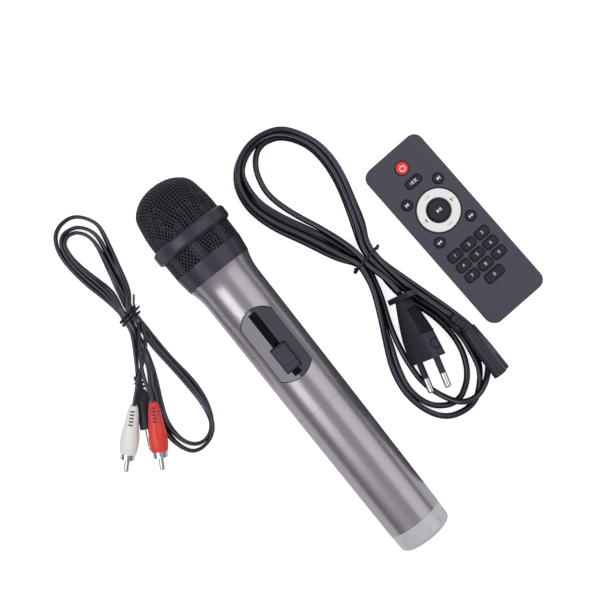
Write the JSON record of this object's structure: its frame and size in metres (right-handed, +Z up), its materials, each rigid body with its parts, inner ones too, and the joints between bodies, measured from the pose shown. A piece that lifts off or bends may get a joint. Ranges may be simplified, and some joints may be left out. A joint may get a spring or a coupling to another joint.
{
  "type": "karaoke accessory set",
  "caption": "Cordless hand microphone, slim key remote, tied stereo audio lead and tied two-pin mains lead, laid out flat as one set.",
  "frame": {"origin": "centre of the microphone and remote's footprint, on the table", "axes": "+Z up, +Y along the microphone from its tail to its head, +X from the microphone to the remote"},
  "size_m": [0.2676, 0.28, 0.0501],
  "materials": {
    "housing_paint": "satin metallic mauve-grey paint over moulded plastic",
    "cap_paint": "lighter satin metallic grey paint",
    "ring_paint": "satin dark grey",
    "panel_gloss": "glossy dark smoke plastic",
    "knob_plastic": "fine satin",
    "mesh_steel": "woven wire in black paint",
    "foam": "open-cell black foam",
    "capsule_can": "bare can",
    "black_rubber": "matt",
    "board": "green solder mask",
    "inner_plastic": "moulded",
    "contact_metal": "bright nickel plating",
    "cell_jacket": "printed sleeve without any print",
    "coin_can": "brushed can",
    "remote_plastic": "satin grey moulding",
    "key_plastic": "satin moulding with white figures",
    "key_rubber": "silicone",
    "ring_key_plastic": "white moulding with a dark rim",
    "led_lens": "dark clear lens",
    "cord_black": "soft black sheath",
    "tie_black": "black covered wire",
    "plug_black": "moulded soft black plastic",
    "plug_white": "moulded white",
    "plug_red": "moulded red"
  },
  "bodies": {
    "set": {"capsule": "capsule_can", "capsule_mount": "black_rubber", "upper_housing": "housing_paint", "switch_panel": "panel_gloss", "slide_switch": "inner_plastic", "battery_cradle": "inner_plastic", "antenna": "inner_plastic", "mic_circuit_board": "board", "remote_circuit_board": "board", "battery_contacts": "contact_metal", "euro_plug_pins": "contact_metal", "phono_plug_contacts": "contact_metal", "jack_contact": "contact_metal", "batteries": "cell_jacket", "remote_top_shell": "remote_plastic", "remote_bottom_shell": "remote_plastic", "key_membrane": "key_rubber", "infrared_led": "led_lens", "audio_cable_hank": "cord_black", "jack_plug_cord": "cord_black", "white_plug_cord": "cord_black", "red_plug_cord": "cord_black", "mains_cable_hank": "cord_black", "euro_plug_cord": "cord_black", "c7_plug_cord": "cord_black", "audio_tie": "tie_black", "mains_tie": "tie_black", "euro_plug_body": "plug_black", "c7_plug_body": "plug_black", "jack_grip": "plug_black", "white_plug_grip": "plug_white", "red_plug_grip": "plug_red"},
    "grille_head": {"grille_dome": "mesh_steel", "grille_ring": "ring_paint", "grille_skirt": "mesh_steel", "grille_collar": "ring_paint", "foam_liner": "foam"},
    "battery_sleeve": {"lower_sleeve": "housing_paint", "tail_cap": "cap_paint"},
    "knob": {"switch_knob": "knob_plastic"},
    "ring": {"ring_key": "ring_key_plastic"},
    "tray": {"cell_tray": "inner_plastic", "button_cell": "coin_can"},
    "power_button": {"power_key": "key_plastic"},
    "mute_button": {"mute_key": "key_plastic"},
    "left_upper_button": {"left_upper_key": "key_plastic"},
    "right_upper_button": {"right_upper_key": "key_plastic"},
    "left_lower_button": {"left_lower_key": "key_plastic"},
    "right_lower_button": {"right_lower_key": "key_plastic"},
    "play_button": {"play_key": "key_plastic"},
    "digit_0_button": {"digit_0_key": "key_plastic"},
    "digit_1_button": {"digit_1_key": "key_plastic"},
    "digit_2_button": {"digit_2_key": "key_plastic"},
    "digit_3_button": {"digit_3_key": "key_plastic"},
    "digit_4_button": {"digit_4_key": "key_plastic"},
    "digit_5_button": {"digit_5_key": "key_plastic"},
    "digit_6_button": {"digit_6_key": "key_plastic"},
    "digit_7_button": {"digit_7_key": "key_plastic"},
    "digit_8_button": {"digit_8_key": "key_plastic"},
    "digit_9_button": {"digit_9_key": "key_plastic"}
  },
  "joints": [
    {"name": "grille_unscrew", "type": "slide", "parent": "set", "child": "grille_head", "axis": [0, 0.9993, 0.0368], "range_m": [0, 0.045]},
    {"name": "sleeve_unscrew", "type": "slide", "parent": "set", "child": "battery_sleeve", "axis": [0, -0.9993, -0.0368], "range_m": [0, 0.095]},
    {"name": "knob_slide", "type": "slide", "parent": "set", "child": "knob", "axis": [0, 0.9993, 0.0368], "range_m": [0, 0.008]},
    {"name": "ring_rock", "type": "hinge", "parent": "set", "child": "ring", "pos_m": [0.06227, 0.01568, 0.006], "axis": [0.9986, 0.0523, 0], "range_deg": [-3, 3], "stiffness_Nm_per_rad": 0.2},
    {"name": "tray_slide", "type": "slide", "parent": "set", "child": "tray", "axis": [0.0523, -0.9986, 0], "range_m": [0, 0.026]},
    {"name": "power_press", "type": "slide", "parent": "set", "child": "power_button", "axis": [0, 0, -1], "range_m": [0, 0.0008], "stiffness_N_per_m": 900},
    {"name": "mute_press", "type": "slide", "parent": "set", "child": "mute_button", "axis": [0, 0, -1], "range_m": [0, 0.0008], "stiffness_N_per_m": 900},
    {"name": "left_upper_press", "type": "slide", "parent": "set", "child": "left_upper_button", "axis": [0, 0, -1], "range_m": [0, 0.0008], "stiffness_N_per_m": 900},
    {"name": "right_upper_press", "type": "slide", "parent": "set", "child": "right_upper_button", "axis": [0, 0, -1], "range_m": [0, 0.0008], "stiffness_N_per_m": 900},
    {"name": "left_lower_press", "type": "slide", "parent": "set", "child": "left_lower_button", "axis": [0, 0, -1], "range_m": [0, 0.0008], "stiffness_N_per_m": 900},
    {"name": "right_lower_press", "type": "slide", "parent": "set", "child": "right_lower_button", "axis": [0, 0, -1], "range_m": [0, 0.0008], "stiffness_N_per_m": 900},
    {"name": "play_press", "type": "slide", "parent": "set", "child": "play_button", "axis": [0, 0, -1], "range_m": [0, 0.0008], "stiffness_N_per_m": 900},
    {"name": "digit_0_press", "type": "slide", "parent": "set", "child": "digit_0_button", "axis": [0, 0, -1], "range_m": [0, 0.0008], "stiffness_N_per_m": 900},
    {"name": "digit_1_press", "type": "slide", "parent": "set", "child": "digit_1_button", "axis": [0, 0, -1], "range_m": [0, 0.0008], "stiffness_N_per_m": 900},
    {"name": "digit_2_press", "type": "slide", "parent": "set", "child": "digit_2_button", "axis": [0, 0, -1], "range_m": [0, 0.0008], "stiffness_N_per_m": 900},
    {"name": "digit_3_press", "type": "slide", "parent": "set", "child": "digit_3_button", "axis": [0, 0, -1], "range_m": [0, 0.0008], "stiffness_N_per_m": 900},
    {"name": "digit_4_press", "type": "slide", "parent": "set", "child": "digit_4_button", "axis": [0, 0, -1], "range_m": [0, 0.0008], "stiffness_N_per_m": 900},
    {"name": "digit_5_press", "type": "slide", "parent": "set", "child": "digit_5_button", "axis": [0, 0, -1], "range_m": [0, 0.0008], "stiffness_N_per_m": 900},
    {"name": "digit_6_press", "type": "slide", "parent": "set", "child": "digit_6_button", "axis": [0, 0, -1], "range_m": [0, 0.0008], "stiffness_N_per_m": 900},
    {"name": "digit_7_press", "type": "slide", "parent": "set", "child": "digit_7_button", "axis": [0, 0, -1], "range_m": [0, 0.0008], "stiffness_N_per_m": 900},
    {"name": "digit_8_press", "type": "slide", "parent": "set", "child": "digit_8_button", "axis": [0, 0, -1], "range_m": [0, 0.0008], "stiffness_N_per_m": 900},
    {"name": "digit_9_press", "type": "slide", "parent": "set", "child": "digit_9_button", "axis": [0, 0, -1], "range_m": [0, 0.0008], "stiffness_N_per_m": 900}
  ]
}
